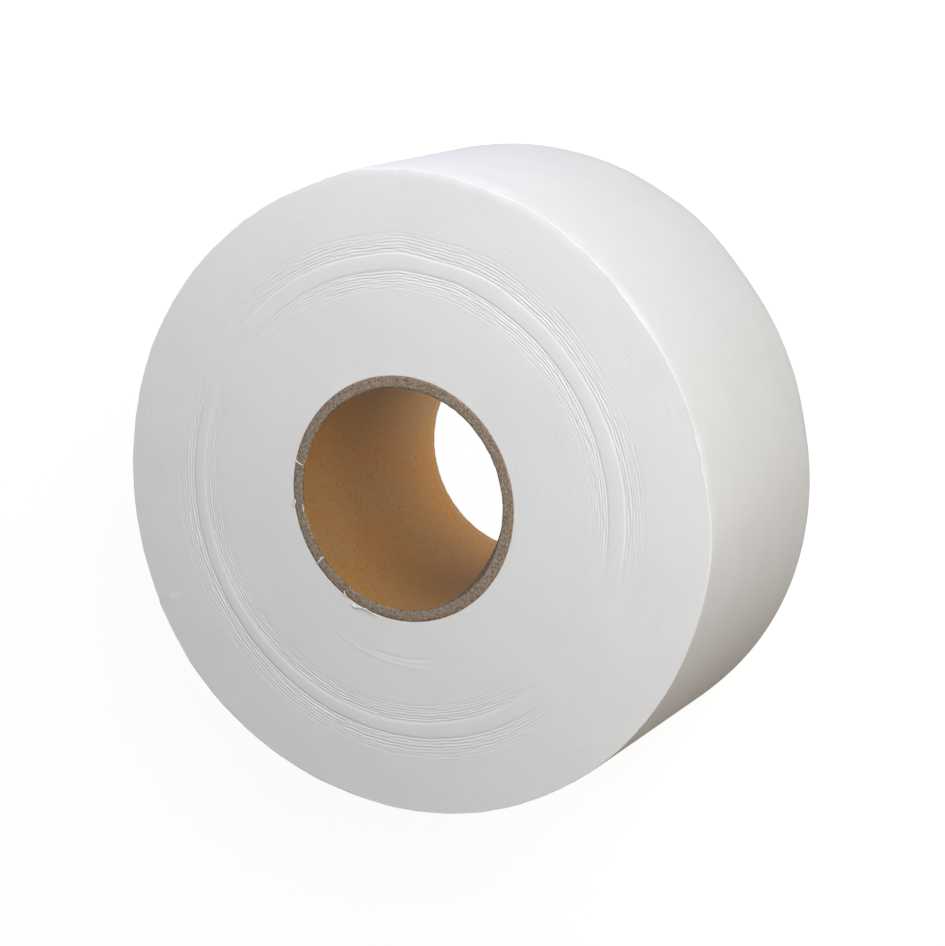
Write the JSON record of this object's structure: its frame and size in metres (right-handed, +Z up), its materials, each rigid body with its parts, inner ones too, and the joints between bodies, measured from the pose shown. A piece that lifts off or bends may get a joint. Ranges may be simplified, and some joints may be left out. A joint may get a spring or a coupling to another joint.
{
  "type": "jumbo toilet paper roll",
  "caption": "Large round roll of white tissue wound on an open brown paperboard core, standing on one sawn end.",
  "frame": {"origin": "on the core's axis, in the plane of the lower sawn end that the roll stands on", "axes": "+Z up along the core's axis; the tail's edge lies 200 degrees round from +X"},
  "size_m": [0.2197, 0.2199, 0.095],
  "materials": {
    "tissue": "matt soft two-ply tissue with a fine crepe",
    "paperboard": "matt kraft liner inside, grey-brown recycled board at the sawn ends"
  },
  "bodies": {
    "root": {"paper_roll": "tissue", "core": "paperboard"}
  },
  "joints": []
}
